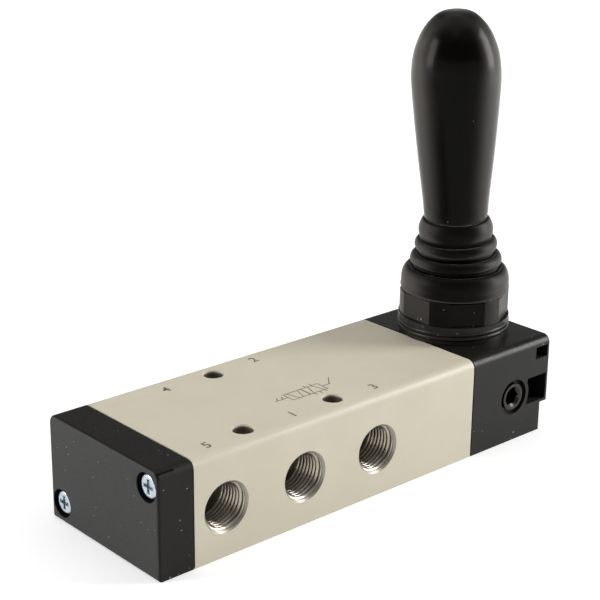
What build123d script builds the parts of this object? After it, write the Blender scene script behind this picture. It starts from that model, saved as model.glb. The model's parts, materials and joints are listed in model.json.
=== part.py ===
from build123d import *
import os
from math import atan2, cos, degrees, radians, sin, sqrt

os.makedirs("parts", exist_ok=True)

# Hand lever air valve: five 1/8 inch ports, two positions, held by a ball detent.
# Millimetres and degrees. +X runs along the body towards the lever, ports 5, 1 and 3
# face -Y, ports 4 and 2 face +Y, and +Z is up. The origin is the middle of the footprint.

# ---------------------------------------------------------------- driving dimensions
# Block that all three casings share
body_width = 35.0
body_height = 22.0
edge_round = 1.8
seal_thickness = 0.3
seal_inset = 0.35
fit_clearance = 0.05

# Valve body
body_length = 74.8
spool_axis_height = 10.2
bore_radius = 6.0
channel_radius = 7.6
channel_width = 4.0
first_port_offset = 7.6
port_pitch = 19.6
outlet_pitch = 21.0
port_radius = 4.86
port_depth = 8.4
port_mouth_chamfer = 0.45
port_drilling_radius = 3.2
mount_hole_radius = 2.1
mount_hole_inset = 5.0
mount_hole_pitch = 23.0
rear_hole_shift = 1.3
mount_hole_chamfer = 0.2

# Casing screws, M3 with a cross recess
screw_radius = 1.45
screw_clearance_radius = 1.7
tapped_radius = 1.5
tapped_depth = 9.0
screw_engagement = 7.5
screw_head_radius = 2.55
screw_head_height = 1.9
screw_head_round = 0.7
head_recess_radius = 2.95
head_sink = 0.5
screw_inset = 3.5
screw_rise = 7.0
cross_width = 0.75
cross_length = 2.9
cross_depth = 1.0

# End cover and the pad inside it
cover_thickness = 7.9
cover_edge_round = 0.6
pad_pocket_radius = 6.9
pad_pocket_depth = 4.9
pad_thickness = 1.6

# Lever housing
housing_length = 24.5
neck_offset = 11.6
neck_radius = 12.2
neck_height = 4.0
housing_end_round = 0.4
housing_step_depth = 2.4
housing_step_height = 6.6
guide_radius = 7.0
guide_end_wall = 0.8
lever_well_radius = 6.8
socket_shoulder_drop = 2.0
neck_bore_radius = 9.45
window_wall = 0.8
side_window_length = 6.2
side_window_low = 7.2
side_window_high = 13.3
side_window_depth = 8.5
boss_reach = 0.5
corner_window_length = 3.8
corner_window_low = 17.3
corner_window_high = 20.0
corner_window_depth = 4.5

# Retaining bush and ball socket
pivot_rise = 5.0
bush_hex_height = 5.5
bush_across_flats = 22.6
bush_corner_radius = 12.0
bush_turn = 27.0
bush_edge_chamfer = 0.35
bush_bore_radius = 8.0
bush_lip_radius = 6.6
bush_lip_height = 1.2
bush_groove_depth = 0.8
bush_groove_inner = 8.2
bush_groove_outer = 10.2
seat_flange_height = 2.7
socket_gap = 0.1
socket_shift = 0.65

# Lever
lever_lean = 3.4
lever_swing = 10.0
ball_radius = 4.8
rod_radius = 3.0
arm_top_radius = 2.2
arm_foot_radius = 1.7
tip_radius = 2.4
stud_radius = 2.45
stud_length = 13.0
pivot_pin_radius = 1.25
pivot_pin_length = 13.0
seat_mouth_radius = 3.3
seat_foot_radius = 3.9
cap_mouth_radius = 3.9
cap_top_radius = 4.5
cap_flare = 0.3

# Grip
grip_foot_rise = 16.7
grip_length = 49.0
grip_foot_radius = 6.6
grip_foot_length = 4.1
grip_waist_radius = 6.9
grip_swell_radius = 9.5
grip_shoulder_radius = 25.0
grip_crown_radius = 7.75
insert_radius = 4.0
insert_length = 14.0
insert_sink = 0.5

# Boot
boot_base_radius = 11.75
boot_base_height = 2.9
boot_shoulder_drop = 1.9
boot_shoulder_radius = 10.5
boot_wall_radius = 7.0
boot_base_wall = 3.1
boot_lower_valley_radius = 8.9
boot_lower_valley_rise = 9.7
boot_lower_ring_radius = 10.05
boot_lower_ring_rise = 11.3
boot_middle_valley_radius = 7.9
boot_middle_valley_rise = 13.2
boot_upper_ring_radius = 8.85
boot_upper_ring_rise = 14.6
boot_upper_valley_radius = 7.7
boot_upper_valley_rise = 16.2
boot_collar_radius = 8.05
boot_collar_rise = 17.8
boot_lip_radius = 6.95
boot_clearance = 0.1

# Spool, drive block and detents
spool_land_clearance = 0.07
land_length = 2.8
ring_section = 1.5
ring_groove_width = 1.7
ring_groove_floor = 4.4
spool_neck_radius = 3.4
outer_seal_offset = 8.0
guide_land_length = 6.0
lead_land_length = 5.8
pad_gap = 0.2
tail_radius = 3.0
block_clearance = 0.08
block_left = 8.6
block_right = 5.8
block_flat_height = 3.3
tail_socket_depth = 5.2
slot_clearance = 0.3
link_pin_radius = 1.0
link_pin_inset = 2.4
detent_offset = 13.1
groove_depth = 0.5
groove_half_width = 0.7
detent_screw_radius = 3.0
detent_recess_radius = 4.0
detent_recess_depth = 1.2
detent_face_sink = 0.2
detent_setback = 0.9
socket_across_flats = 3.5
socket_depth = 3.6
socket_mouth_chamfer = 0.3
detent_ball_radius = 1.25
spring_coil_radius = 0.85
spring_wire_radius = 0.2
spring_length = 2.6
spring_pitch = 0.72

# ---------------------------------------------------------------- places along the body
total_length = cover_thickness + body_length + housing_length + 2 * seal_thickness
cover_x = -total_length / 2
cover_inner_x = cover_x + cover_thickness
body_x = cover_inner_x + seal_thickness
body_end_x = body_x + body_length
housing_x = body_end_x + seal_thickness
housing_end_x = housing_x + housing_length
neck_x = housing_x + neck_offset
detent_x = housing_x + detent_offset
pivot_x = neck_x + socket_shift
side_y = body_width / 2
neck_top = body_height + neck_height
bush_top = neck_top + bush_hex_height
socket_shoulder_height = body_height - socket_shoulder_drop
pivot_height = body_height + pivot_rise

exhaust_a_x = body_x + first_port_offset
supply_x = exhaust_a_x + port_pitch
exhaust_b_x = supply_x + port_pitch
rear_hole_x = supply_x + rear_hole_shift
front_ports_x = [exhaust_a_x, supply_x, exhaust_b_x]
rear_ports_x = [rear_hole_x - outlet_pitch / 2, rear_hole_x + outlet_pitch / 2]
channels_x = [exhaust_a_x + i * port_pitch / 2 for i in range(5)]
lands_x = [exhaust_a_x + (i + 0.5) * port_pitch / 2 for i in range(4)]

# Each end, seen from outside, has its screws at the upper right and the lower left.
mid_height = body_height / 2
screw_places = [
    (side_y - screw_inset, mid_height + screw_rise),
    (screw_inset - side_y, mid_height - screw_rise),
]
housing_head_x = housing_end_x - housing_step_depth - head_sink - screw_head_height

# ---------------------------------------------------------------- places of the moving parts
arm_length = pivot_height - spool_axis_height
spool_travel = arm_length * sin(radians(lever_swing))
spool_shift = arm_length * sin(radians(lever_lean))
slot_x = pivot_x + spool_shift
land_radius = bore_radius - spool_land_clearance
block_radius = guide_radius - block_clearance
block_x = slot_x - block_left

lean_sin = sin(radians(lever_lean))
lean_cos = cos(radians(lever_lean))
spool_plane = Plane(origin=(0, 0, spool_axis_height), x_dir=(1, 0, 0), z_dir=(0, -1, 0))
spool_axis = Axis((0, 0, spool_axis_height), (1, 0, 0))
neck_plane = Plane(origin=(neck_x, 0, 0), x_dir=(1, 0, 0), z_dir=(0, -1, 0))
neck_axis = Axis((neck_x, 0, 0), (0, 0, 1))
lever_plane = Plane(
    origin=(pivot_x, 0, pivot_height), x_dir=(lean_cos, 0, lean_sin), z_dir=(0, -1, 0)
)
lever_axis = Axis((pivot_x, 0, pivot_height), (-lean_sin, 0, lean_cos))
pin_plane = Plane(origin=(pivot_x, 0, pivot_height), z_dir=(0, 1, 0))
socket_plane = Plane(origin=(pivot_x, 0, 0), x_dir=(1, 0, 0), z_dir=(0, -1, 0))
socket_axis = Axis((pivot_x, 0, 0), (0, 0, 1))


def end_plane(x, facing):
    """Plane across the body at x, facing along facing * X, with its own y axis up."""
    return Plane(origin=(x, 0, 0), x_dir=(0, facing, 0), z_dir=(facing, 0, 0))


def side_plane(x, side, distance=side_y):
    """Plane on a long side at x and spool height, facing outwards; side is -1 in front."""
    return Plane(origin=(x, side * distance, spool_axis_height), x_dir=(1, 0, 0), z_dir=(0, side, 0))


def finish(piece, name):
    """Label a finished piece and write its file."""
    piece.part.label = name
    export_step(piece.part, f"parts/{name}.step")


def block_outline(inset=0.0):
    """Cross-section of the casings, with its base on height zero and rounded upper corners."""
    with Locations((0, mid_height)):
        outline = Rectangle(body_width - 2 * inset, body_height - 2 * inset)
    fillet(outline.vertices().group_by(Axis.Y)[-1], edge_round)
    return outline


# ---------------------------------------------------------------- valve body
def make_valve_body():
    with BuildPart() as body:
        with BuildSketch(end_plane(body_x, 1)):
            block_outline()
        extrude(amount=body_length)
        with Locations(Plane(origin=(body_x, 0, spool_axis_height), z_dir=(-1, 0, 0))):
            Hole(bore_radius)
        with BuildSketch(spool_plane):
            with Locations(*[(x, channel_radius / 2) for x in channels_x]):
                Rectangle(channel_width, channel_radius)
        revolve(axis=spool_axis, mode=Mode.SUBTRACT)
        for side, ports in ((-1, front_ports_x), (1, rear_ports_x)):
            with Locations(*[side_plane(x, side) for x in ports]):
                CounterSinkHole(port_radius, port_radius + port_mouth_chamfer, port_depth, 90)
                Hole(port_drilling_radius, side_y)
        front_y = mount_hole_inset - side_y
        hole_places = [
            (supply_x - mount_hole_pitch / 2, front_y),
            (supply_x + mount_hole_pitch / 2, front_y),
            (rear_hole_x, -front_y),
        ]
        with Locations(Plane.XY.offset(body_height)):
            with Locations(*hole_places):
                CounterSinkHole(
                    mount_hole_radius, mount_hole_radius + mount_hole_chamfer, body_height, 90
                )
        for plane in (end_plane(body_x, -1), end_plane(body_end_x, 1)):
            with Locations(plane):
                with Locations(*screw_places):
                    Hole(tapped_radius, tapped_depth)
    finish(body, "valve_body")


# ---------------------------------------------------------------- end cover
def make_end_cover():
    with BuildPart() as cover:
        with BuildSketch(end_plane(cover_inner_x, -1)):
            block_outline()
        extrude(amount=cover_thickness)
        fillet(cover.faces().sort_by(Axis.X)[0].edges(), cover_edge_round)
        with Locations(Plane(origin=(cover_inner_x, 0, spool_axis_height), z_dir=(1, 0, 0))):
            Hole(pad_pocket_radius, pad_pocket_depth)
        with Locations(end_plane(cover_x, -1)):
            with Locations(*screw_places):
                CounterBoreHole(
                    screw_clearance_radius, head_recess_radius, head_sink + screw_head_height
                )
    finish(cover, "end_cover")


def make_end_bumper():
    with BuildPart() as pad:
        floor_x = cover_inner_x - pad_pocket_depth
        with BuildSketch(Plane(origin=(floor_x, 0, spool_axis_height), z_dir=(1, 0, 0))):
            Circle(pad_pocket_radius - fit_clearance)
        extrude(amount=pad_thickness)
        fillet(pad.faces().sort_by(Axis.X)[-1].edges(), pad_thickness / 4)
    finish(pad, "end_bumper")


# ---------------------------------------------------------------- flat gaskets
def make_gasket(x, opening_radius, name):
    with BuildPart() as gasket:
        with BuildSketch(end_plane(x, 1)):
            block_outline(seal_inset)
            with Locations((0, spool_axis_height)):
                Circle(opening_radius, mode=Mode.SUBTRACT)
            facing = 1 if x > 0 else -1
            with Locations(*[(facing * a, b) for a, b in screw_places]):
                Circle(screw_clearance_radius, mode=Mode.SUBTRACT)
        extrude(amount=seal_thickness)
    finish(gasket, name)


# ---------------------------------------------------------------- casing screws
def make_screws(seat_plane, reach, name):
    """Two pan head screws whose heads stand on seat_plane, with their shanks behind it."""
    outward = Axis(seat_plane.origin, seat_plane.z_dir)
    with BuildPart() as screws:
        with BuildSketch(seat_plane):
            with Locations(*screw_places):
                Circle(screw_head_radius)
        extrude(amount=screw_head_height)
        fillet(screws.faces().sort_by(outward)[-2:].edges(), screw_head_round)
        with BuildSketch(seat_plane.offset(screw_head_height)):
            with Locations(*screw_places):
                Rectangle(cross_width, cross_length)
                Rectangle(cross_length, cross_width)
        extrude(amount=-cross_depth, mode=Mode.SUBTRACT)
        with BuildSketch(seat_plane):
            with Locations(*screw_places):
                Circle(screw_radius)
        extrude(amount=-reach - screw_engagement)
    finish(screws, name)


# ---------------------------------------------------------------- lever housing
def make_lever_housing():
    with BuildPart() as housing:
        with BuildSketch(end_plane(housing_x, 1)):
            block_outline()
        extrude(amount=housing_length)
        upper_end_edge = housing.faces().sort_by(Axis.X)[-1].edges().sort_by(Axis.Z)[-1]
        fillet(upper_end_edge, housing_end_round)
        with BuildSketch(end_plane(housing_end_x, 1)):
            with Locations((0, housing_step_height / 2)):
                Rectangle(body_width, housing_step_height)
        extrude(amount=-housing_step_depth, mode=Mode.SUBTRACT)
        with BuildSketch(Plane.XY.offset(body_height)):
            with Locations((neck_x, 0)):
                Circle(neck_radius)
        extrude(amount=neck_height)
        guide_depth = housing_length - housing_step_depth - guide_end_wall
        with Locations(Plane(origin=(housing_x, 0, spool_axis_height), z_dir=(-1, 0, 0))):
            Hole(guide_radius, guide_depth)
        with Locations(Plane(origin=(neck_x, 0, neck_top))):
            Hole(lever_well_radius, neck_top - spool_axis_height)
            Hole(neck_bore_radius, neck_top - socket_shoulder_height)
        for side in (-1, 1):
            with Locations(side_plane(detent_x, side)):
                CounterBoreHole(
                    detent_screw_radius + fit_clearance,
                    detent_recess_radius,
                    detent_recess_depth,
                    side_y,
                )
        with Locations(end_plane(housing_end_x, 1)):
            with Locations(*screw_places):
                CounterBoreHole(
                    screw_clearance_radius, head_recess_radius, housing_end_x - housing_head_x
                )
        window_x = housing_end_x - window_wall - side_window_length / 2
        window_z = (side_window_low + side_window_high) / 2 - spool_axis_height
        boss_radius = window_x - side_window_length / 2 - detent_x + boss_reach
        for side in (-1, 1):
            with BuildSketch(side_plane(window_x, side)):
                with Locations((0, -side * window_z)):
                    Rectangle(side_window_length, side_window_high - side_window_low)
                with Locations((detent_x - window_x, 0)):
                    Circle(boss_radius, mode=Mode.SUBTRACT)
            extrude(amount=-side_window_depth, mode=Mode.SUBTRACT)
        corner_x = housing_end_x - window_wall - corner_window_length / 2
        corner_z = (corner_window_low + corner_window_high) / 2 - spool_axis_height
        with BuildSketch(side_plane(corner_x, -1)):
            with Locations((0, corner_z)):
                Rectangle(corner_window_length, corner_window_high - corner_window_low)
        extrude(amount=-corner_window_depth, mode=Mode.SUBTRACT)
    finish(housing, "lever_housing")


# ---------------------------------------------------------------- retaining bush
def make_retaining_bush():
    with BuildPart() as bush:
        with BuildSketch(Plane.XY.offset(neck_top)):
            with Locations((neck_x, 0)):
                Circle(bush_corner_radius)
                RegularPolygon(
                    bush_across_flats / 2,
                    6,
                    major_radius=False,
                    rotation=bush_turn,
                    mode=Mode.INTERSECT,
                )
        extrude(amount=bush_hex_height)
        chamfer(bush.faces().sort_by(Axis.Z)[-1].edges(), bush_edge_chamfer)
        seat_top = socket_shoulder_height + seat_flange_height + socket_gap
        with BuildSketch(Plane.XY.offset(seat_top)):
            with Locations((neck_x, 0)):
                Circle(neck_bore_radius - fit_clearance)
        extrude(amount=neck_top - seat_top)
        with Locations(Plane(origin=(neck_x, 0, seat_top), z_dir=(0, 0, -1))):
            Hole(bush_bore_radius, bush_top - bush_lip_height - seat_top)
        with Locations(Plane(origin=(neck_x, 0, bush_top))):
            Hole(bush_lip_radius, bush_hex_height)
        with BuildSketch(Plane.XY.offset(bush_top)):
            with Locations((neck_x, 0)):
                Circle(bush_groove_outer)
                Circle(bush_groove_inner, mode=Mode.SUBTRACT)
        extrude(amount=-bush_groove_depth, mode=Mode.SUBTRACT)
    finish(bush, "retaining_bush")


# ---------------------------------------------------------------- ball socket halves
def cut_ball_and_pin(mouth_radius, cone_rise, outer_radius, outer_rise):
    """Hollow a socket half for the ball and its pin, with a coned way through for the rod.

    cone_rise and outer_rise are heights from the ball's centre to the cone's narrow and wide
    ends; they are negative below it.
    """
    with BuildSketch(socket_plane.shift_origin(pin_plane.origin), mode=Mode.PRIVATE) as section:
        with BuildLine():
            Polyline(
                (0, 0),
                (mouth_radius, 0),
                (mouth_radius, cone_rise),
                (outer_radius, outer_rise),
                (0, outer_rise),
                close=True,
            )
        make_face()
        Circle(ball_radius + fit_clearance)
        with Locations((ball_radius, 0)):
            Rectangle(2 * ball_radius, 4 * ball_radius, mode=Mode.INTERSECT)
    revolve(section.sketch, axis=socket_axis, mode=Mode.SUBTRACT)
    with Locations(pin_plane):
        Cylinder(
            pivot_pin_radius + fit_clearance,
            pivot_pin_length + 2 * fit_clearance,
            mode=Mode.SUBTRACT,
        )


def make_socket_seat():
    foot = socket_shoulder_height
    with BuildPart() as seat:
        with BuildSketch(Plane.XY.offset(foot)):
            with Locations((neck_x, 0)):
                Circle(neck_bore_radius - fit_clearance)
        extrude(amount=seat_flange_height)
        with BuildSketch(Plane.XY.offset(foot)):
            with Locations((neck_x, 0)):
                Circle(bush_bore_radius - fit_clearance)
        extrude(amount=pivot_height - socket_gap / 2 - foot)
        cut_ball_and_pin(
            seat_mouth_radius,
            foot + seat_flange_height - pivot_height,
            seat_foot_radius,
            foot - pivot_height,
        )
    finish(seat, "socket_seat")


def make_socket_cap():
    foot = pivot_height + socket_gap / 2
    top = bush_top - bush_lip_height - fit_clearance
    with BuildPart() as cap:
        with BuildSketch(Plane.XY.offset(foot)):
            with Locations((neck_x, 0)):
                Circle(bush_bore_radius - fit_clearance)
        extrude(amount=top - foot)
        cut_ball_and_pin(
            cap_mouth_radius, top - cap_flare - pivot_height, cap_top_radius, top - pivot_height
        )
    finish(cap, "socket_cap")


# ---------------------------------------------------------------- lever rod and its pin
def make_lever_rod():
    stud_foot = grip_foot_rise
    with BuildPart() as rod:
        with BuildSketch(lever_plane):
            with BuildLine():
                Polyline(
                    (0, -arm_length),
                    (arm_foot_radius, -arm_length),
                    (arm_top_radius, -ball_radius),
                    (rod_radius, 0),
                    (rod_radius, stud_foot),
                    (stud_radius, stud_foot),
                    (stud_radius, stud_foot + stud_length),
                    (0, stud_foot + stud_length),
                    close=True,
                )
            make_face()
        revolve(axis=lever_axis)
        with Locations(lever_plane.from_local_coords((0, -arm_length))):
            Sphere(tip_radius)
        with Locations(pin_plane):
            Sphere(ball_radius)
        with BuildSketch(pin_plane):
            Circle(pivot_pin_radius + fit_clearance / 2)
        extrude(amount=ball_radius, both=True, mode=Mode.SUBTRACT)
    finish(rod, "lever_rod")


def make_pivot_pin():
    with BuildPart() as pin:
        with BuildSketch(pin_plane):
            Circle(pivot_pin_radius)
        extrude(amount=pivot_pin_length / 2, both=True)
    finish(pin, "pivot_pin")


# ---------------------------------------------------------------- grip
def make_grip():
    foot = grip_foot_rise
    waist = foot + grip_foot_length
    crown_height = foot + grip_length - grip_crown_radius
    shoulder_x = grip_swell_radius - grip_shoulder_radius
    centre_gap = grip_shoulder_radius - grip_crown_radius
    swell_height = crown_height - sqrt(centre_gap**2 - shoulder_x**2)
    blend_angle = degrees(atan2(crown_height - swell_height, -shoulder_x))
    with BuildPart() as grip:
        with BuildSketch(lever_plane):
            with BuildLine():
                Polyline(
                    (0, crown_height + grip_crown_radius),
                    (0, foot),
                    (grip_foot_radius, foot),
                    (grip_foot_radius, waist),
                    (grip_waist_radius, waist),
                    (grip_swell_radius, swell_height),
                )
                CenterArc((shoulder_x, swell_height), grip_shoulder_radius, 0, blend_angle)
                CenterArc((0, crown_height), grip_crown_radius, blend_angle, 90 - blend_angle)
            make_face()
        revolve(axis=lever_axis)
        with BuildSketch(lever_plane):
            with Locations((0, foot + (insert_sink + insert_length) / 2)):
                Rectangle(2 * (insert_radius + fit_clearance), insert_sink + insert_length)
            split(bisect_by=Plane.YZ)
        revolve(axis=lever_axis, mode=Mode.SUBTRACT)
    finish(grip, "grip")


def make_grip_insert():
    low = grip_foot_rise + insert_sink
    with BuildPart() as insert:
        with BuildSketch(lever_plane):
            with BuildLine():
                bore = stud_radius + fit_clearance
                Polyline(
                    (bore, low),
                    (insert_radius, low),
                    (insert_radius, low + insert_length - fit_clearance),
                    (bore, low + insert_length - fit_clearance),
                    close=True,
                )
            make_face()
        revolve(axis=lever_axis)
    finish(insert, "grip_insert")


# ---------------------------------------------------------------- boot
def make_boot():
    rise = bush_top - pivot_height
    lip_rise = grip_foot_rise + grip_foot_length - boot_clearance
    with BuildPart() as boot:
        shoulder = bush_top + boot_base_height
        with BuildSketch(neck_plane):
            with BuildLine():
                Polyline(
                    (boot_shoulder_radius, shoulder + boot_shoulder_drop),
                    (0, shoulder + boot_shoulder_drop),
                    (0, bush_top),
                    (boot_base_radius, bush_top),
                    (boot_base_radius, shoulder),
                )
                TangentArc(
                    (boot_base_radius, shoulder),
                    (boot_shoulder_radius, shoulder + boot_shoulder_drop),
                    tangent=(0, 1),
                )
            make_face()
        revolve(axis=neck_axis)
        with BuildSketch(lever_plane):
            with BuildLine():
                Polyline(
                    (boot_lower_valley_radius, boot_lower_valley_rise),
                    (boot_lower_valley_radius, rise + boot_base_wall / 2),
                    (0, rise + boot_base_wall / 2),
                    (0, lip_rise),
                    (boot_lip_radius, lip_rise),
                )
                ThreePointArc(
                    (boot_lower_valley_radius, boot_lower_valley_rise),
                    (boot_lower_ring_radius, boot_lower_ring_rise),
                    (boot_middle_valley_radius, boot_middle_valley_rise),
                )
                ThreePointArc(
                    (boot_middle_valley_radius, boot_middle_valley_rise),
                    (boot_upper_ring_radius, boot_upper_ring_rise),
                    (boot_upper_valley_radius, boot_upper_valley_rise),
                )
                Line(
                    (boot_upper_valley_radius, boot_upper_valley_rise),
                    (boot_collar_radius, boot_collar_rise),
                )
                TangentArc(
                    (boot_collar_radius, boot_collar_rise), (boot_lip_radius, lip_rise), tangent=(0, 1)
                )
            make_face()
        revolve(axis=lever_axis)
        with BuildSketch(lever_plane):
            with BuildLine():
                foot = grip_foot_rise - boot_clearance
                collar = grip_foot_radius + boot_clearance
                Polyline(
                    (0, rise + boot_base_wall),
                    (boot_wall_radius, rise + boot_base_wall),
                    (boot_wall_radius, foot - 0.5),
                    (collar, foot),
                    (collar, lip_rise),
                    (0, lip_rise),
                    close=True,
                )
            make_face()
        revolve(axis=lever_axis, mode=Mode.SUBTRACT)
        with Locations(Plane(origin=(neck_x, 0, bush_top), z_dir=(0, 0, -1))):
            Hole(bush_groove_inner + fit_clearance, boot_base_wall + 0.6)
        with BuildSketch(Plane.XY.offset(bush_top)):
            with Locations((neck_x, 0)):
                Circle(bush_groove_outer - fit_clearance)
                Circle(bush_groove_inner + fit_clearance, mode=Mode.SUBTRACT)
        extrude(amount=fit_clearance - bush_groove_depth)
    finish(boot, "boot")


# ---------------------------------------------------------------- spool
def seal_places():
    """Ring centres along X with the spool at rest, from the cover towards the housing."""
    steps = (-spool_travel, spool_travel, -spool_travel, spool_travel)
    rings = [x + step + spool_shift for x, step in zip(lands_x, steps)]
    return rings + [exhaust_b_x + outer_seal_offset + spool_shift]


def make_spool():
    lead_x = cover_inner_x - pad_pocket_depth + pad_thickness + pad_gap + spool_travel + spool_shift
    tail_x = block_x + tail_socket_depth - fit_clearance
    guide_x = body_end_x - spool_travel - guide_land_length + spool_shift - pad_gap
    rings = seal_places()
    with BuildPart() as spool:
        with BuildSketch(spool_plane):
            with Locations(((lead_x + guide_x) / 2, spool_neck_radius / 2)):
                Rectangle(guide_x - lead_x, spool_neck_radius)
            with Locations(((guide_x + tail_x) / 2, tail_radius / 2)):
                Rectangle(tail_x - guide_x, tail_radius)
            with Locations((lead_x + lead_land_length / 2, land_radius / 2)):
                Rectangle(lead_land_length, land_radius)
            with Locations((guide_x + guide_land_length / 2, land_radius / 2)):
                Rectangle(guide_land_length, land_radius)
            with Locations(*[(x, land_radius / 2) for x in rings]):
                Rectangle(land_length, land_radius)
            groove_height = land_radius - ring_groove_floor
            with Locations(*[(x, ring_groove_floor + groove_height / 2) for x in rings]):
                Rectangle(ring_groove_width, groove_height, mode=Mode.SUBTRACT)
        revolve(axis=spool_axis)
        pin_x = block_x + link_pin_inset
        with BuildSketch(Plane(origin=(pin_x, 0, spool_axis_height), z_dir=(0, 1, 0))):
            Circle(link_pin_radius + fit_clearance / 2)
        extrude(amount=tail_radius, both=True, mode=Mode.SUBTRACT)
    finish(spool, "spool")


def make_spool_seals():
    ring_radius = bore_radius - fit_clearance - ring_section / 2
    with BuildPart() as seals:
        with BuildSketch(spool_plane):
            with Locations(*[(x, ring_radius) for x in seal_places()]):
                Circle(ring_section / 2)
        revolve(axis=spool_axis)
    finish(seals, "spool_seals")


# ---------------------------------------------------------------- drive block and its pin
def make_drive_block():
    with BuildPart() as block:
        with BuildSketch(Plane(origin=(block_x, 0, spool_axis_height), z_dir=(1, 0, 0))):
            Circle(block_radius)
        extrude(amount=block_left + block_right)
        with BuildSketch(spool_plane):
            for x in (detent_x + spool_shift - spool_travel, detent_x + spool_shift + spool_travel):
                with BuildLine():
                    Polyline(
                        (x - groove_half_width, block_radius),
                        (x, block_radius - groove_depth),
                        (x + groove_half_width, block_radius),
                        (x + groove_half_width, block_radius + groove_depth),
                        (x - groove_half_width, block_radius + groove_depth),
                        close=True,
                    )
                make_face()
        revolve(axis=spool_axis, mode=Mode.SUBTRACT)
        flat = spool_axis_height + block_flat_height
        with BuildSketch(Plane.XY.offset(flat)):
            with Locations((slot_x, 0)):
                Rectangle(2 * (block_left + block_right), 2 * block_radius)
        extrude(amount=block_radius, mode=Mode.SUBTRACT)
        with BuildSketch(Plane.XY.offset(flat)):
            with Locations((slot_x, 0)):
                Rectangle(2 * (tip_radius + slot_clearance), 2 * (tip_radius + slot_clearance))
        extrude(amount=-2 * block_radius, mode=Mode.SUBTRACT)
        with Locations(Plane(origin=(block_x, 0, spool_axis_height), z_dir=(-1, 0, 0))):
            Hole(tail_radius + fit_clearance, tail_socket_depth)
        pin_x = block_x + link_pin_inset
        with BuildSketch(Plane(origin=(pin_x, 0, spool_axis_height), z_dir=(0, 1, 0))):
            Circle(link_pin_radius + fit_clearance / 2)
        extrude(amount=block_radius, both=True, mode=Mode.SUBTRACT)
    finish(block, "drive_block")


def make_link_pin():
    half_length = sqrt(block_radius**2 - link_pin_radius**2) - fit_clearance
    pin_x = block_x + link_pin_inset
    with BuildPart() as pin:
        with BuildSketch(Plane(origin=(pin_x, 0, spool_axis_height), z_dir=(0, 1, 0))):
            Circle(link_pin_radius)
        extrude(amount=half_length, both=True)
    finish(pin, "link_pin")


# ---------------------------------------------------------------- detents
detent_screw_inner = guide_radius + detent_setback
detent_screw_outer = side_y - detent_face_sink
ball_centre = block_radius + fit_clearance + detent_ball_radius
ball_bore_radius = detent_ball_radius + fit_clearance
spring_foot = ball_centre + detent_ball_radius + fit_clearance


def make_detent_screws():
    bore_depth = spring_foot + spring_length + 2 * spring_wire_radius - detent_screw_inner
    with BuildPart() as screws:
        for side in (-1, 1):
            with BuildSketch(side_plane(detent_x, side, detent_screw_inner)):
                Circle(detent_screw_radius)
            extrude(amount=detent_screw_outer - detent_screw_inner)
            with BuildSketch(side_plane(detent_x, side, detent_screw_outer)):
                RegularPolygon(socket_across_flats / 2, 6, major_radius=False)
            extrude(amount=-socket_depth, mode=Mode.SUBTRACT)
            mouth = side_plane(detent_x, side, detent_screw_outer)
            with Locations(mouth):
                Cone(
                    socket_across_flats / 2,
                    socket_across_flats / 2 + 2 * socket_mouth_chamfer,
                    2 * socket_mouth_chamfer,
                    align=(Align.CENTER, Align.CENTER, Align.MAX),
                    mode=Mode.SUBTRACT,
                )
            with BuildSketch(side_plane(detent_x, side, detent_screw_inner)):
                Circle(ball_bore_radius)
            extrude(amount=bore_depth, mode=Mode.SUBTRACT)
    finish(screws, "detent_screws")


def make_detent_balls():
    with BuildPart() as balls:
        with Locations(*[side_plane(detent_x, side, ball_centre).origin for side in (-1, 1)]):
            Sphere(detent_ball_radius)
    finish(balls, "detent_balls")


def make_detent_springs():
    foot = spring_foot + spring_wire_radius
    with BuildPart() as springs:
        for side in (-1, 1):
            with BuildLine() as coil:
                Helix(
                    spring_pitch,
                    spring_length - 2 * spring_wire_radius,
                    spring_coil_radius,
                    center=side_plane(detent_x, side, foot).origin,
                    direction=(0, side, 0),
                )
            with BuildSketch(Plane(origin=coil.line @ 0, z_dir=coil.line % 0)):
                Circle(spring_wire_radius)
            sweep(path=coil.line)
    finish(springs, "detent_springs")


# ---------------------------------------------------------------- the assembly
make_valve_body()
make_end_cover()
make_end_bumper()
make_gasket(cover_inner_x, pad_pocket_radius + fit_clearance, "cover_gasket")
make_gasket(body_end_x, bore_radius + fit_clearance, "housing_gasket")
cover_head_x = cover_x + head_sink + screw_head_height
make_screws(end_plane(cover_head_x, -1), body_x - cover_head_x, "cover_screws")
make_screws(end_plane(housing_head_x, 1), housing_head_x - body_end_x, "housing_screws")
make_lever_housing()
make_retaining_bush()
make_socket_seat()
make_socket_cap()
make_lever_rod()
make_pivot_pin()
make_grip()
make_grip_insert()
make_boot()
make_spool()
make_spool_seals()
make_drive_block()
make_link_pin()
make_detent_screws()
make_detent_balls()
make_detent_springs()
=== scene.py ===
"""Hand lever air valve: the dressed model on a plain pale floor."""
import json
import math

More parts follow.
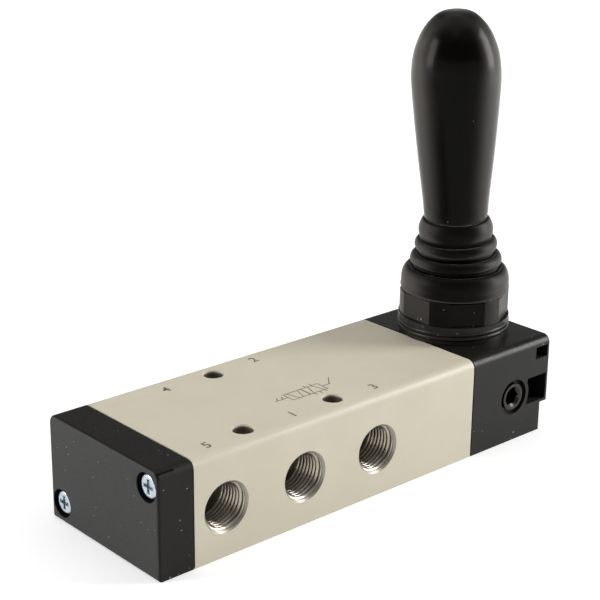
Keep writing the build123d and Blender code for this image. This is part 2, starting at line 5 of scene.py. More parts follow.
import bmesh
import bpy
import numpy as np
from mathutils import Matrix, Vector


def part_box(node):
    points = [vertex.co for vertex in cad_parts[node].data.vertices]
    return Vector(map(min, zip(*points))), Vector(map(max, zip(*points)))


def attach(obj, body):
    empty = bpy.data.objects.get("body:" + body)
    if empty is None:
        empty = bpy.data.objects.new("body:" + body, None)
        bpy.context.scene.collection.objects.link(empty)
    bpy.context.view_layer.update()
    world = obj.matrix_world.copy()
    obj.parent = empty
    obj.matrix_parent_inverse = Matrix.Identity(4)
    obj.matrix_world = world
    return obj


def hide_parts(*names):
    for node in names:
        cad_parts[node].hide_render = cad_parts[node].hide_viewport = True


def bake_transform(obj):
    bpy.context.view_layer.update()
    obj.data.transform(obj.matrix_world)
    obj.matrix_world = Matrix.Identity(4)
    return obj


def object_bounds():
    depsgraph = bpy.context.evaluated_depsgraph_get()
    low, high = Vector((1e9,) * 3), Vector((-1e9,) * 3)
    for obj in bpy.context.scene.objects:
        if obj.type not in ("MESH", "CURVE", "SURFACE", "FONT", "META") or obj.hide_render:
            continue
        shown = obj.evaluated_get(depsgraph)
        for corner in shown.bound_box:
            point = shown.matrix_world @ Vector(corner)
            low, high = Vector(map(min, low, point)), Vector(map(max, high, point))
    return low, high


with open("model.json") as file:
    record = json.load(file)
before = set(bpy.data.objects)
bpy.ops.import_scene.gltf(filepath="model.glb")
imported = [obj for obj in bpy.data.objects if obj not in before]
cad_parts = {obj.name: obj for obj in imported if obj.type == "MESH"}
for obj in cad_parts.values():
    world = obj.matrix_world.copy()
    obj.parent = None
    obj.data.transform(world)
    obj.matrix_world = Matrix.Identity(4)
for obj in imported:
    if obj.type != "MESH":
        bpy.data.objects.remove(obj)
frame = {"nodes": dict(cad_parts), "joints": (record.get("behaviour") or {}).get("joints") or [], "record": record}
cad_low, cad_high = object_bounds()

MM = 0.001
WELD = 1e-7
HALF_INK = 0.02 * MM
UP = np.array([0.0, 0.0, 1.0])
ALONG = np.array([1.0, 0.0, 0.0])

# ---------------------------------------------------------------- places read from the frame
_, body_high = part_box("valve_body")
_, housing_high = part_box("lever_housing")
mounts = {mount["name"]: mount for mount in frame["record"]["mounts"]}
tilt = next(joint for joint in frame["joints"] if joint["name"] == "lever_tilt")
pivot = np.array(tilt["pos_m"], float)
neck_x = mounts["panel_neck"]["pos_m"][0]
body_top = body_high.z
side_y = body_high.y

# The lever's own line at rest leans back towards the body
lever_lean = math.radians(3.4)
lever_up = np.array([-math.sin(lever_lean), 0.0, math.cos(lever_lean)])
lever_across = np.array([math.cos(lever_lean), 0.0, math.sin(lever_lean)])


# ---------------------------------------------------------------- mesh building
def surface(name, points, closed_u=False, closed_v=False, caps=False):
    """Object from a grid of points, shape (u, v, 3); each neighbouring four make one face.

    closed_u and closed_v join the last row or column to the first. caps shuts the two
    open ends of a grid that is closed along v with one many-sided face each.
    """
    rows, columns = points.shape[:2]
    u = np.arange(rows if closed_u else rows - 1)
    v = np.arange(columns if closed_v else columns - 1)
    a, b = np.meshgrid(u, v, indexing="ij")
    a2, b2 = (a + 1) % rows, (b + 1) % columns
    corners = np.stack([a * columns + b, a2 * columns + b, a2 * columns + b2, a * columns + b2], -1)
    faces = corners.reshape(-1, 4).tolist()
    if caps:
        ring = np.arange(columns)
        faces.append(ring.tolist())
        faces.append((ring[::-1] + (rows - 1) * columns).tolist())
    mesh = bpy.data.meshes.new(name)
    mesh.from_pydata(points.reshape(-1, 3).tolist(), [], faces)
    mesh.validate()
    mesh.shade_smooth()
    piece = bpy.data.objects.new(name, mesh)
    bpy.context.collection.objects.link(piece)
    return piece


def outward(piece):
    """Turn a closed piece's faces to point out of it."""
    work = bmesh.new()
    work.from_mesh(piece.data)
    bmesh.ops.remove_doubles(work, verts=work.verts, dist=WELD)
    bmesh.ops.recalc_face_normals(work, faces=work.faces)
    work.to_mesh(piece.data)
    work.free()
    return piece


def smooth_profile(knots, steps):
    """Even points along a soft curve through the knots (radius, height), in metres.

    Each coordinate is a cubic in the length walked along the knots, with slopes taken from
    the neighbours on either side, so the curve passes every knot without a corner.
    """
    knots = np.array(knots, float) * MM
    walked = np.concatenate([[0.0], np.cumsum(np.hypot(*np.diff(knots, axis=0).T))])
    slope = np.gradient(knots, walked, axis=0)
    t = np.linspace(0.0, walked[-1], steps)
    i = np.clip(np.searchsorted(walked, t, side="right") - 1, 0, len(knots) - 2)
    span = (walked[i + 1] - walked[i])[:, None]
    s = ((t - walked[i]) / span[:, 0])[:, None]
    return (
        (2 * s**3 - 3 * s**2 + 1) * knots[i]
        + (s**3 - 2 * s**2 + s) * span * slope[i]
        + (3 * s**2 - 2 * s**3) * knots[i + 1]
        + (s**3 - s**2) * span * slope[i + 1]
    )


def turned(profile, centre, along, across, sides=160):
    """Points of a profile (radius, height) carried once round the line through centre.

    The point at angle w is centre + height * along + radius * (cos w * across + sin w * third).
    """
    third = np.cross(along, across)
    w = np.linspace(0.0, 2 * math.pi, sides, endpoint=False)
    ring = np.cos(w)[:, None] * across + np.sin(w)[:, None] * third
    return (
        np.asarray(centre)
        + profile[:, 1][:, None, None] * np.asarray(along)
        + profile[:, 0][:, None, None] * ring[None]
    )


def helical_ridge(name, centre, along, across, root, crest, pitch, length, sides=96):
    """A screw thread's ridge as one closed bar wound round the line through centre.

    Its V section runs from the root radius to the crest radius and fades to nothing over
    the first and last half turn. Point (w, k) lies at radius r_k and height
    pitch * w / (2 pi) + h_k, where r_k and h_k are the section's corners.
    """
    fading_turns, thinnest = 0.5, 0.02
    foot_share, tip_share = 0.47, 0.06
    buried = root + 0.06 * MM * np.sign(root - crest)
    third = np.cross(along, across)
    turns = length / pitch
    w = np.linspace(0.0, 2 * math.pi * turns, int(sides * turns))
    fade = np.clip(np.minimum(w, w[-1] - w) / (2 * math.pi * fading_turns), thinnest, 1.0)
    section_r = np.array([buried, root, crest, crest, root, buried])
    section_h = np.array([-foot_share, -foot_share, -tip_share, tip_share, foot_share, foot_share]) * pitch
    r = buried + (section_r - buried)[None] * fade[:, None]
    h = pitch * w[:, None] / (2 * math.pi) + section_h[None] * fade[:, None]
    ring = np.cos(w)[:, None] * across + np.sin(w)[:, None] * third
    points = np.asarray(centre) + h[..., None] * np.asarray(along) + r[..., None] * ring[:, None]
    return outward(surface(name, points, closed_v=True, caps=True))


# ---------------------------------------------------------------- finishes
def link(tree, source, target):
    tree.links.new(source, target)


def new_finish(name, colour, roughness, metallic=0.0, specular=0.5, sheen=0.0):
    """Material with a plain shader, and its tree and shader to build on."""
    material = bpy.data.materials.new(name)
    material.use_nodes = True
    tree = material.node_tree
    shader = tree.nodes["Principled BSDF"]
    shader.inputs["Base Color"].default_value = (*colour, 1.0)
    shader.inputs["Roughness"].default_value = roughness
    shader.inputs["Metallic"].default_value = metallic
    shader.inputs["Specular IOR Level"].default_value = specular
    shader.inputs["Sheen Weight"].default_value = sheen
    shader.inputs["Sheen Roughness"].default_value = 0.3
    return material, tree, shader


def noise(tree, scale, detail=3.0):
    """Noise on the piece's own coordinates; scale counts waves per metre."""
    place = tree.nodes.new("ShaderNodeTexCoord")
    texture = tree.nodes.new("ShaderNodeTexNoise")
    texture.inputs["Scale"].default_value = scale
    texture.inputs["Detail"].default_value = detail
    texture.inputs["Roughness"].default_value = 0.55
    link(tree, place.outputs["Object"], texture.inputs["Vector"])
    return texture.outputs["Fac"]


def between(tree, value, low, high, to_low=0.0, to_high=1.0):
    """The value moved from the range low..high to to_low..to_high, and held inside it."""
    node = tree.nodes.new("ShaderNodeMapRange")
    for socket, number in zip(("From Min", "From Max", "To Min", "To Max"), (low, high, to_low, to_high)):
        node.inputs[socket].default_value = number
    link(tree, value, node.inputs["Value"])
    return node.outputs["Result"]


def spread(tree, texture, low=0.0, high=1.0):
    """A noise socket's usual range, 0.3 to 0.7, spread over low..high."""
    return between(tree, texture, 0.3, 0.7, low, high)


def mixed(tree, amount, first, second):
    """Colour between first and second by amount; either may be a colour or a socket."""
    node = tree.nodes.new("ShaderNodeMix")
    node.data_type = "RGBA"
    link(tree, amount, node.inputs["Factor"])
    for socket, value in (("A", first), ("B", second)):
        target = next(s for s in node.inputs if s.name == socket and s.type == "RGBA")
        if isinstance(value, tuple):
            target.default_value = (*value, 1.0)
        else:
            link(tree, value, target)
    return next(s for s in node.outputs if s.type == "RGBA")


def maths(tree, kind, first, second=0.0):
    """One Math node; each input may be a number or a socket."""
    node = tree.nodes.new("ShaderNodeMath")
    node.operation = kind
    for socket, value in zip(node.inputs, (first, second)):
        if isinstance(value, (int, float)):
            socket.default_value = value
        else:
            link(tree, value, socket)
    return node.outputs[0]


def bumped(tree, shader, height, strength, distance):
    """Surface relief from a height socket; distance is its full height in metres."""
    node = tree.nodes.new("ShaderNodeBump")
    node.inputs["Strength"].default_value = strength
    node.inputs["Distance"].default_value = distance
    link(tree, height, node.inputs["Height"])
    link(tree, node.outputs["Normal"], shader.inputs["Normal"])


def specks(tree, limit):
    """Sparse small specks, 1 on a speck and 0 elsewhere; a higher limit leaves fewer."""
    specks_per_metre, soft_edge = 1500.0, 0.02
    return between(tree, noise(tree, specks_per_metre, detail=0.0), limit, limit + soft_edge)


def glancing(tree, colour, painted_sheen_colour, start=0.11, full=0.42):
    """The colour, lifted to a paler painted sheen where the surface turns away from the eye.

    Between start and full the painted sheen grows by the smooth step 3 r^2 - 2 r^3.
    """
    layer = tree.nodes.new("ShaderNodeLayerWeight")
    layer.inputs["Blend"].default_value = 0.5
    ramp = between(tree, layer.outputs["Facing"], start, full)
    square = maths(tree, "MULTIPLY", ramp, ramp)
    rest = maths(tree, "SUBTRACT", 3.0, maths(tree, "MULTIPLY", ramp, 2.0))
    return mixed(tree, maths(tree, "MULTIPLY", square, rest), colour, painted_sheen_colour)


def parted(tree, kind):
    """The x, y and z of one kind of texture coordinate: Object, Normal or Generated."""
    place = tree.nodes.new("ShaderNodeTexCoord")
    split = tree.nodes.new("ShaderNodeSeparateXYZ")
    link(tree, place.outputs[kind], split.inputs["Vector"])
    return split.outputs


def cream_enamel():
    """Satin enamel with a slight orange peel, and bare machined metal inside the holes."""
    cream, bare = (0.60, 0.545, 0.43), (0.34, 0.315, 0.27)
    duller, brighter = (0.575, 0.53, 0.415), (0.605, 0.56, 0.445)
    underside, bare_metallic = 0.05 * MM, 0.85
    material, tree, shader = new_finish("cream_enamel", cream, 0.42, specular=0.45)
    _, y, z = parted(tree, "Object")
    depth = maths(tree, "ABSOLUTE", y)
    # The body's core in two blocks that keep clear of its rounded edges: one nearly out to
    # the sides, the other nearly up to the top.
    blocks = []
    for from_side, from_top in ((0.05 * MM, 1.85 * MM), (0.55 * MM, 0.5 * MM)):
        between_sides = maths(tree, "LESS_THAN", depth, side_y - from_side)
        under_top = maths(tree, "LESS_THAN", z, body_top - from_top)
        blocks.append(maths(tree, "MULTIPLY", between_sides, under_top))
    inside = maths(tree, "MAXIMUM", *blocks)
    inside = maths(tree, "MULTIPLY", inside, maths(tree, "GREATER_THAN", z, underside))
    mottle = spread(tree, noise(tree, 90.0, 4.0))
    paint = mixed(tree, mottle, duller, brighter)
    link(tree, mixed(tree, inside, paint, bare), shader.inputs["Base Color"])
    link(tree, between(tree, inside, 0.0, 1.0, 0.0, bare_metallic), shader.inputs["Metallic"])
    fine = noise(tree, 1400.0, 2.0)
    link(tree, spread(tree, fine, 0.38, 0.47), shader.inputs["Roughness"])
    bumped(tree, shader, fine, strength=0.12, distance=0.05 * MM)
    return material


def black_moulding(
    name, colour, roughness=0.5, grain=1500.0, specular=0.5, painted_shade_mask=None, painted_sheen=None, painted_end_light=None
):
    """Moulded black plastic with a fine grain and a little dust.

    A mask function, if given, takes the tree and returns 1 in recesses, which are painted near-black as painted
    shade.
    A sheen colour, if given, is painted where the surface is seen at a glancing angle, as painted sheen.
    An end colour, if given, is painted on the cover's own end face as painted reflected light.
    """
    dust_colour, painted_shade_colour = (0.26, 0.25, 0.23), (0.001, 0.001, 0.001)
    end_skin = 0.12 * MM
    material, tree, shader = new_finish(name, colour, roughness, specular=specular)
    cloud = spread(tree, noise(tree, 60.0, 4.0))
    lighter = tuple(c * 1.25 + 0.001 for c in colour)
    shade = mixed(tree, cloud, colour, lighter)
    # Painted sheen: a paler colour where the surface is seen at a glancing angle.
    if painted_sheen is not None:
        shade = glancing(tree, shade, painted_sheen)
    # The cover's end face is painted paler, as painted reflected light.
    if painted_end_light is not None:
        end_face = maths(tree, "LESS_THAN", parted(tree, "Object")[0], cad_low.x + end_skin)
        shade = mixed(tree, end_face, shade, painted_end_light)
    shade = mixed(tree, specks(tree, 0.83), shade, dust_colour)
    fine = noise(tree, grain, 3.0)
    matt = spread(tree, fine, roughness - 0.05, roughness + 0.05)
    # Recesses are painted near-black as painted shade, and made fully rough.
    if painted_shade_mask is not None:
        painted_shade = painted_shade_mask(tree)
        shade = mixed(tree, painted_shade, shade, painted_shade_colour)
        matt = maths(tree, "MAXIMUM", matt, painted_shade)
    link(tree, shade, shader.inputs["Base Color"])
    link(tree, matt, shader.inputs["Roughness"])
    bumped(tree, shader, fine, strength=0.25, distance=0.04 * MM)
    return material


def boot_rubber():
    """Soft black rubber with a faint bloom, painted shade in its grooves, and painted sheen at its sides."""
    deep, bloomed = (0.0025, 0.0018, 0.0012), (0.004, 0.0032, 0.0024)
    painted_groove_colour, dust_colour = (0.0004, 0.0003, 0.0002), (0.20, 0.19, 0.17)
    material, tree, shader = new_finish(
        "boot_rubber", (0.003, 0.0022, 0.0015), 0.42, specular=0.06, sheen=0.3
    )
    bloom = between(tree, noise(tree, 160.0, 4.0), 0.35, 0.75)
    # Painted sheen: a paler colour where the surface is seen at a glancing angle.
    shade = glancing(tree, mixed(tree, bloom, deep, bloomed), (0.058, 0.053, 0.047))
    # Painted shade in the grooves and at the lip under the handle, from the boot's own per-point weight.
    painted_groove_shade = tree.nodes.new("ShaderNodeAttribute")
    painted_groove_shade.attribute_name = "painted_groove_shade"
    shade = mixed(tree, painted_groove_shade.outputs["Fac"], shade, painted_groove_colour)
    link(tree, mixed(tree, specks(tree, 0.87), shade, dust_colour), shader.inputs["Base Color"])
    fine = noise(tree, 1100.0, 3.0)
    link(tree, spread(tree, fine, 0.36, 0.48), shader.inputs["Roughness"])
    bumped(tree, shader, fine, strength=0.2, distance=0.04 * MM)
    return material


def grip_gloss():
    """Black moulding with a soft polish: painted sheen at its sides, more so higher up, and painted shade on its
    upward-facing top.
    """
    black, painted_top_shade = (0.0015, 0.001, 0.0006), (0.009, 0.0085, 0.007)
    painted_sheen_below, painted_sheen_above = (0.038, 0.035, 0.03), (0.068, 0.063, 0.055)
    dust_colour = (0.12, 0.11, 0.10)
    material, tree, shader = new_finish("grip_gloss", black, 0.22, specular=0.07, sheen=0.2)
    # Painted sheen at the sides, paler higher up, and a dark painted shade where the surface faces up.
    height = between(tree, parted(tree, "Object")[2], 50.0 * MM, 82.0 * MM)
    shade = glancing(tree, black, mixed(tree, height, painted_sheen_below, painted_sheen_above), 0.12, 0.46)
    facing_up = between(tree, parted(tree, "Normal")[2], 0.35, 0.8)
    shade = mixed(tree, facing_up, shade, painted_top_shade)
    link(tree, mixed(tree, specks(tree, 0.87), shade, dust_colour), shader.inputs["Base Color"])
    smear = noise(tree, 120.0, 4.0)
    link(tree, spread(tree, smear, 0.19, 0.26), shader.inputs["Roughness"])
    bumped(tree, shader, noise(tree, 300.0, 2.0), strength=0.08, distance=0.05 * MM)
    return material


def inside_box(tree, low, high):
    """1 inside the box between two corners in metres, 0 outside it."""
    inside = 1.0
    for socket, start, stop in zip(parted(tree, "Object"), low, high):
        over = maths(tree, "GREATER_THAN", socket, start)
        under = maths(tree, "LESS_THAN", socket, stop)
        inside = maths(tree, "MULTIPLY", inside, maths(tree, "MULTIPLY", over, under))
    return inside


def housing_windows(tree):
    """Where painted shade goes: the side windows and the corner window, a little below the housing's faces."""
    end = housing_high.x - 0.5 * MM
    side = side_y - 0.3 * MM
    lower = inside_box(tree, (end - 7.0 * MM, -side, 6.0 * MM), (end, side, 14.5 * MM))
    upper = inside_box(tree, (end - 4.6 * MM, -side, 16.0 * MM), (end, 6.0 * MM - side_y, 21.2 * MM))
    return maths(tree, "MAXIMUM", lower, upper)


def cover_recesses(tree):
    """Where painted shade goes: the walls of the screw recesses, a little below the cover's end face."""
    side = side_y - 0.4 * MM
    outer, inner = cad_low.x + 0.2 * MM, cad_low.x + 4.0 * MM
    return inside_box(tree, (outer, -side, 0.4 * MM), (inner, side, body_top - 0.4 * MM))


def metal(name, colour, roughness):
    """Bare or plated metal with fine uneven brightness."""
    cloud_scale, fine_scale = 225.0, 900.0
    material, tree, shader = new_finish(name, colour, roughness, metallic=1.0)
    cloud = spread(tree, noise(tree, cloud_scale, 4.0))
    darker = tuple(c * 0.82 for c in colour)
    link(tree, mixed(tree, cloud, darker, colour), shader.inputs["Base Color"])
    fine = noise(tree, fine_scale, 3.0)
    uneven = spread(tree, fine, roughness - 0.06, roughness + 0.08)
    link(tree, uneven, shader.inputs["Roughness"])
    bumped(tree, shader, fine, strength=0.1, distance=0.03 * MM)
    return material


def plain_plastic(name, colour, roughness):
    """Natural moulded plastic."""
    material, tree, shader = new_finish(name, colour, roughness)
    cloud = spread(tree, noise(tree, 200.0, 3.0))
    darker = tuple(c * 0.93 for c in colour)
    link(tree, mixed(tree, cloud, colour, darker), shader.inputs["Base Color"])
    bumped(tree, shader, noise(tree, 1200.0, 2.0), strength=0.1, distance=0.03 * MM)
    return material


def printed_ink():
    """Dark ink, slightly worn."""
    material, tree, shader = new_finish("printed_ink", (0.10, 0.095, 0.085), 0.55)
    wear = between(tree, noise(tree, 2500.0, 3.0), 0.45, 0.75)
    link(tree, mixed(tree, wear, (0.09, 0.085, 0.075), (0.30, 0.27, 0.22)), shader.inputs["Base Color"])
    return material


enamel = cream_enamel()
# The cover gets painted shade in its screw recesses and painted reflected light on its end face.
cover_plastic = black_moulding(
    "cover_plastic", (0.007, 0.0062, 0.0046), 0.5, specular=0.17,
    painted_shade_mask=cover_recesses, painted_end_light=(0.034, 0.0345, 0.033),
)
# The housing's windows get painted shade.
housing_plastic = black_moulding(
    "housing_plastic", (0.007, 0.0064, 0.005), 0.36, specular=0.22, painted_shade_mask=housing_windows
)
# The bush gets painted sheen towards its sides.
bush_plastic = black_moulding(
    "bush_plastic", (0.003, 0.0024, 0.0017), 0.36, 900.0, specular=0.07, painted_sheen=(0.042, 0.039, 0.034)
)
rubber = boot_rubber()
gloss = grip_gloss()
zinc = metal("zinc_plate", (0.62, 0.68, 0.74), 0.3)
steel = metal("bright_steel", (0.70, 0.71, 0.72), 0.22)
thread_metal = metal("machined_thread", (0.46, 0.42, 0.35), 0.3)
dark_steel = metal("black_oxide_steel", (0.052, 0.049, 0.044), 0.3)
aluminium = metal("turned_aluminium", (0.76, 0.77, 0.78), 0.28)
brass = metal("brass_insert", (0.72, 0.55, 0.25), 0.25)
acetal = plain_plastic("white_acetal", (0.80, 0.80, 0.77), 0.4)
seal = black_moulding("seal_rubber", (0.016, 0.016, 0.016), 0.6)
ink = printed_ink()

node_finishes = {
    "valve_body": enamel,
    "end_cover": cover_plastic,
    "cover_gasket": seal,
    "cover_screws": zinc,
    "end_bumper": seal,
    "lever_housing": housing_plastic,
    "housing_gasket": seal,
    "housing_screws": zinc,
    "socket_seat": acetal,
    "socket_cap": acetal,
    "retaining_bush": bush_plastic,
    "boot": rubber,
    "detent_screws": dark_steel,
    "detent_springs": steel,
    "detent_balls": steel,
    "spool": aluminium,
    "spool_seals": seal,
    "drive_block": acetal,
    "link_pin": steel,
    "lever_rod": steel,
    "pivot_pin": steel,
    "grip": gloss,
    "grip_insert": brass,
}
for node, finish in node_finishes.items():
    for spot in frame["nodes"][node].material_slots:
        spot.material = finish


def settle(piece, finish, body):
    """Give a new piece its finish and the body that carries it."""
    piece.data.materials.clear()
    piece.data.materials.append(finish)
    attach(piece, body)


# ---------------------------------------------------------------- threads
def make_port_threads():
    """A ridge inside each port, from the wall in to the thread's inner radius."""
    pitch, ridge_height = 0.907 * MM, 0.56 * MM
    mouth_gap, bottom_gap = 0.5 * MM, 0.4 * MM
    for name in ("port_5", "port_1", "port_3", "port_4", "port_2"):
        port = mounts[name]
        out = np.array(port["axis"], float)
        wall = port["dims"]["r_mm"] * MM
        length = port["dims"]["length_mm"] * MM
        mouth = np.array(port["pos_m"], float) * [1, 0, 1] + out * (side_y - mouth_gap)
        start = mouth - out * (length - bottom_gap)
        ridge = helical_ridge(
            name + "_thread", start, out, ALONG, wall, wall - ridge_height, pitch, length - mouth_gap
        )
        settle(ridge, thread_metal, "valve")


def make_neck_thread():
    """The shallow thread round the housing's neck."""
    pitch, ridge_height, length = 1.0 * MM, 0.12 * MM, 2.7 * MM
    root = mounts["panel_neck"]["dims"]["r_mm"] * MM
    start = np.array([neck_x, 0.0, body_top + 0.75 * MM])
    ridge = helical_ridge(
        "neck_thread", start, UP, ALONG, root, root + ridge_height, pitch, length, sides=144
    )
    settle(ridge, housing_plastic, "valve")


# ---------------------------------------------------------------- boot
def groove_depths(skin, collar_foot):
    """How deep each point of the boot's profile lies in a groove, from 0 to 1, which sets its painted shade.

    The depth is how far a point's radius falls short of the fullest radius near its height,
    less a small margin. On the collar only the lip against the handle counts.
    """
    reach, margin, deep = 1.3 * MM, 0.25 * MM, 0.7 * MM
    lip_radius, lip_fade = 7.4 * MM, 0.25 * MM
    radius, height = skin[:, 0], skin[:, 1]
    near = np.abs(height[:, None] - height[None]) < reach
    fullest = np.where(near, radius[None], 0.0).max(axis=1)
    depth = np.clip((fullest - radius - margin) / deep, 0.0, 1.0)
    lip = np.clip((lip_radius - radius) / lip_fade, 0.0, 1.0)
    return np.where(height > collar_foot, lip, depth)


def make_boot():
    """Bellows turned from its profile, upright at the base and leaning with the lever above.

    The centre line is the neck's own at the base and the lever's own at the collar, and the
    tilt of each ring grows with the smooth step between the two heights.
    """
    bend_foot, bend_height, collar_foot = 34.0 * MM, 10.0 * MM, 44.5 * MM
    outside = [
        (11.6, 31.52), (11.84, 31.75), (11.86, 33.0), (11.82, 34.2), (11.7, 34.9), (11.46, 35.6),
        (11.05, 36.25), (10.6, 36.6), (10.2, 36.7), (9.85, 36.55), (9.55, 36.2), (9.35, 36.15),
        (9.3, 36.45), (9.5, 36.95), (9.85, 37.5), (10.04, 38.05), (10.0, 38.6), (9.78, 39.15),
        (9.4, 39.55), (9.0, 39.7), (8.6, 39.55), (8.3, 39.35), (8.1, 39.45), (8.15, 39.85),
        (8.45, 40.4), (8.84, 40.95), (9.0, 41.55), (8.96, 42.15), (8.7, 42.65), (8.35, 42.95),
        (8.05, 42.95), (7.88, 42.9), (7.86, 43.2), (7.98, 43.9), (8.1, 44.7), (8.08, 45.5),
        (7.92, 46.2), (7.62, 46.9), (7.34, 47.4), (7.05, 47.66), (6.8, 47.72),
    ]
    inside = [(6.6, 47.7), (6.6, 44.0), (7.0, 42.0), (7.3, 39.0), (8.1, 36.2), (8.25, 31.52)]
    skin = smooth_profile(outside, steps=240)
    lining = np.array(inside) * MM
    profile = np.concatenate([skin, lining])
    upright = turned(profile, [neck_x, 0.0, 0.0], UP, ALONG)
    from_pivot = np.column_stack([profile[:, 0], profile[:, 1] - pivot[2]])
    leaning = turned(from_pivot, pivot, lever_up, lever_across)
    share = np.clip((profile[:, 1] - bend_foot) / bend_height, 0.0, 1.0)
    share = share * share * (3 - 2 * share)
    points = upright + (leaning - upright) * share[:, None, None]
    boot = surface("boot_bellows", points, closed_u=True, closed_v=True)
    # Per-point weight of painted shade: groove depth on the skin, full on the lining.
    painted_groove_shade = boot.data.attributes.new("painted_groove_shade", "FLOAT", "POINT")
    depth = np.concatenate([groove_depths(skin, collar_foot), np.ones(len(lining))])
    painted_groove_shade.data.foreach_set("value", np.repeat(depth, points.shape[1]))
    outward(boot)
    boot.data.materials.append(rubber)
    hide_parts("boot")
    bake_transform(boot)


# ---------------------------------------------------------------- grip
def make_grip():
    """Tapered handle turned from its profile about the lever's own line.

    The profile's heights count from the handle's foot.
    """
    foot_above_pivot = 16.7 * MM
    knots = [
        (3.9, 0.05), (6.4, 0.0), (6.5, 0.15), (6.5, 3.9), (6.55, 4.1), (6.82, 4.3), (6.9, 4.8),
        (7.12, 7.6), (7.58, 12.1), (8.04, 16.5), (8.46, 20.9), (8.84, 25.3), (9.18, 29.6),
        (9.42, 33.0), (9.5, 34.8), (9.48, 36.2), (9.3, 38.4), (8.95, 40.4), (8.3, 42.4),
        (7.32, 44.6), (6.55, 45.8), (5.92, 46.6), (5.05, 47.5), (4.05, 48.3), (2.85, 48.85),
        (1.45, 49.1), (0.02, 49.16),
    ]
    foot = pivot + lever_up * foot_above_pivot
    points = turned(smooth_profile(knots, steps=260), foot, lever_up, lever_across)
    grip = outward(surface("handle_grip", points, closed_v=True, caps=True))
    settle(grip, gloss, "lever")
    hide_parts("grip")


# ---------------------------------------------------------------- printing on the top
def flat_print(name, rectangles):
    """Thin printed bars; each is (x, y, length, width, angle) in millimetres and degrees.

    Each bar is a box whose corners lie half its length along the turned direction and half
    its width across it from the centre, sunk and raised by half its thickness.
    """
    bars = np.array(rectangles, float)
    x, y, half_long, half_wide = bars[:, 0], bars[:, 1], bars[:, 2] / 2, bars[:, 3] / 2
    turn = np.radians(bars[:, 4])
    corner_u = np.array([-1, 1, 1, -1, -1, 1, 1, -1])
    corner_v = np.array([-1, -1, 1, 1, -1, -1, 1, 1])
    corner_w = np.array([-1, -1, -1, -1, 1, 1, 1, 1])
    u = corner_u[None] * half_long[:, None]
    v = corner_v[None] * half_wide[:, None]
    px = x[:, None] + u * np.cos(turn)[:, None] - v * np.sin(turn)[:, None]
    py = y[:, None] + u * np.sin(turn)[:, None] + v * np.cos(turn)[:, None]
    pz = corner_w[None] * (HALF_INK / MM) + np.zeros_like(px)
    points = np.stack([px, py, pz], -1).reshape(-1, 3) * MM + [0, 0, body_top]
    box = np.array([[3, 2, 1, 0], [4, 5, 6, 7], [0, 1, 5, 4], [1, 2, 6, 5], [2, 3, 7, 6], [3, 0, 4, 7]])
    faces = (box[None] + 8 * np.arange(len(bars))[:, None, None]).reshape(-1, 4)
    mesh = bpy.data.meshes.new(name)
    mesh.from_pydata(points.tolist(), [], faces.tolist())
    piece = bpy.data.objects.new(name, mesh)
    bpy.context.collection.objects.link(piece)
    settle(piece, ink, "valve")


def port_number(figure, x, y):
    """A plain port number lying on the top face, its middle at x and y in millimetres."""
    name = "mark_" + figure
    curve = bpy.data.curves.new(name, "FONT")
    curve.body = figure
    curve.size = 3.3 * MM
    curve.align_x = "CENTER"
    curve.align_y = "CENTER"
    curve.extrude = HALF_INK
    curve.offset = 0.045 * MM
    text = bpy.data.objects.new(name + "_text", curve)
    bpy.context.collection.objects.link(text)
    bpy.context.view_layer.update()
    mesh = bpy.data.meshes.new_from_object(text.evaluated_get(bpy.context.evaluated_depsgraph_get()))
    bpy.data.objects.remove(text)
    spots = np.zeros(len(mesh.vertices) * 3)
    mesh.vertices.foreach_get("co", spots)
    spots = spots.reshape(-1, 3) + [x * MM, y * MM, body_top]
    mesh.vertices.foreach_set("co", spots.ravel())
    mesh.name = name
    piece = bpy.data.objects.new(name, mesh)
    bpy.context.collection.objects.link(piece)
    settle(piece, ink, "valve")


def framed(x, y, length, width, line):
    """Four bars round a rectangle."""
    return [
        (x, y + width / 2, length, line, 0), (x, y - width / 2, length, line, 0),
        (x - length / 2, y, width, line, 90), (x + length / 2, y, width, line, 90),
    ]


def make_symbol():
    """The general sign for a lever valve with five ports and two positions."""
    line, length, height = 0.19, 4.6, 3.2
    left, right, middle = -11.2, -6.6, -6.6
    bars = framed(left, middle, length, height, line) + framed(right, middle, length, height, line)
    # Flow lines in the two boxes
    for x, slant in ((left - 1.0, 108), (left + 0.9, 72), (right - 0.9, 72), (right + 1.0, 108)):
        bars.append((x, middle, height, line, slant))
    # Three ports below the right box and two above it
    bars += [(x, middle - 2.1, 1.0, line, 90) for x in (right - 1.4, right, right + 1.4)]
    bars += [(x, middle + 2.1, 1.0, line, 90) for x in (right - 0.8, right + 0.8)]
    # Detent on the left, lever on the right
    bars += [(-15.2, middle, 3.4, line, 0)]
    bars += [(x, middle + 0.6, 1.4, line, 60) for x in (-14.6, -15.9)]
    bars += [(-3.2, middle, 2.2, line, 0), (-1.4, middle + 1.3, 3.2, line, 50)]
    flat_print("valve_symbol", bars)


# ---------------------------------------------------------------- studio
def area_light(name, place, aim_height, size, power):
    """Rectangular lamp that points at the object's upright through the origin."""
    lamp = bpy.data.lights.new(name, "AREA")
    lamp.shape = "RECTANGLE"
    lamp.size, lamp.size_y = size
    lamp.energy = power
    holder = bpy.data.objects.new(name, lamp)
    bpy.context.collection.objects.link(holder)
    holder.location = place
    direction = Vector((0.0, 0.0, aim_height)) - Vector(place)
    holder.rotation_euler = direction.to_track_quat("-Z", "Y").to_euler()


def seen_directly(tree):
    """1 for what the eye, a mirror or glass shows, and 0 for light on its way elsewhere."""
    path = tree.nodes.new("ShaderNodeLightPath")
    seen = maths(tree, "MAXIMUM", path.outputs["Is Camera Ray"], path.outputs["Is Transmission Ray"])
    return maths(tree, "MAXIMUM", seen, path.outputs["Is Glossy Ray"])


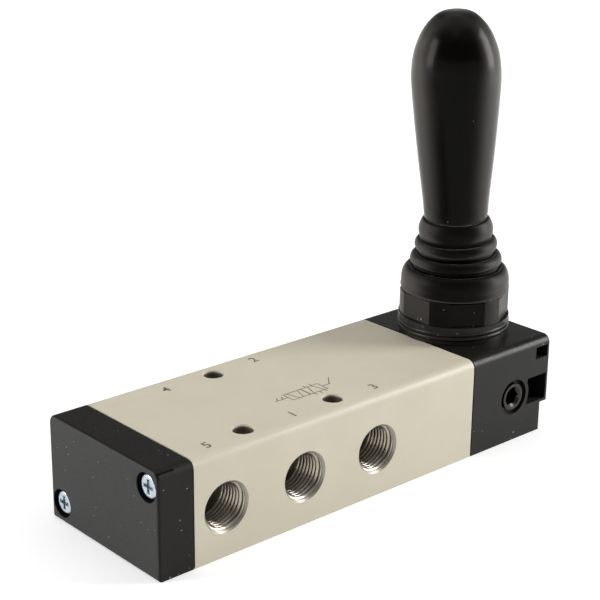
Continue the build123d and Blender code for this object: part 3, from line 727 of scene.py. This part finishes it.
def make_floor():
    """Large pale floor just under the part; far from the lamps it glows white by itself."""
    reach, gap = 3.0, 0.05 * MM
    lit_as_far_as, white_from = 0.36, 0.56
    glow_near, glow_far = 0.36, 1.0
    mesh = bpy.data.meshes.new("floor")
    corners = [(x * reach, y * reach, -gap) for x, y in ((-1, -1), (1, -1), (1, 1), (-1, 1))]
    mesh.from_pydata(corners, [], [(0, 1, 2, 3)])
    floor = bpy.data.objects.new("floor", mesh)
    bpy.context.collection.objects.link(floor)
    material, tree, shader = new_finish("floor_paper", (0.85, 0.85, 0.85), 0.9, specular=0.1)
    glow = tree.nodes.new("ShaderNodeEmission")
    both = tree.nodes.new("ShaderNodeAddShader")
    x, y, _ = parted(tree, "Object")
    square = maths(tree, "ADD", maths(tree, "MULTIPLY", x, x), maths(tree, "MULTIPLY", y, y))
    away = maths(tree, "SQRT", square)
    white = between(tree, away, lit_as_far_as, white_from, glow_near, glow_far)
    link(tree, maths(tree, "MULTIPLY", seen_directly(tree), white), glow.inputs["Strength"])
    link(tree, shader.outputs[0], both.inputs[0])
    link(tree, glow.outputs[0], both.inputs[1])
    link(tree, both.outputs[0], tree.nodes["Material Output"].inputs["Surface"])
    mesh.materials.append(material)


def make_world():
    """A white wall seen up to just above the horizon, and a weak even fill from everywhere else."""
    fill, white = 0.2, 1.0
    wall_fades, wall_ends = 0.12, 0.2
    world = bpy.data.worlds.new("studio")
    bpy.context.scene.world = world
    world.use_nodes = True
    tree = world.node_tree
    background = tree.nodes["Background"]
    background.inputs["Color"].default_value = (1.0, 1.0, 1.0, 1.0)
    wall = between(tree, parted(tree, "Generated")[2], wall_fades, wall_ends, 1.0, 0.0)
    shown = maths(tree, "MULTIPLY", wall, seen_directly(tree))
    link(tree, between(tree, shown, 0.0, 1.0, fill, white), background.inputs["Strength"])


def make_camera():
    """Camera in front of the cover end, turned towards the lever."""
    camera = bpy.data.cameras.new("camera")
    camera.lens = 93.966
    camera.sensor_width = 36.0
    camera.clip_start, camera.clip_end = 0.01, 20.0
    holder = bpy.data.objects.new("camera", camera)
    bpy.context.collection.objects.link(holder)
    holder.location = (-202.637 * MM, -221.214 * MM, 144.309 * MM)
    holder.rotation_euler = tuple(math.radians(a) for a in (70.4175, -0.5901, -41.6053))
    bpy.context.scene.camera = holder


make_port_threads()
make_neck_thread()
make_boot()
make_grip()
for figure, x, y in (
    ("4", -29.5, 12.2), ("2", -5.8, 13.2), ("5", -39.7, -13.7), ("1", -18.2, -13.3), ("3", 3.4, -13.5),
):
    port_number(figure, x, y)
make_symbol()

make_floor()
make_world()
make_camera()
area_light("right", (0.52, -0.36, 0.26), 0.03, (0.24, 0.44), 4.6)
area_light("left", (-0.54, 0.32, 0.24), 0.03, (0.24, 0.4), 3.2)
area_light("top", (0.0, 0.1, 1.0), 0.02, (1.2, 1.2), 4.3)

bpy.context.scene.view_settings.view_transform = "Standard"
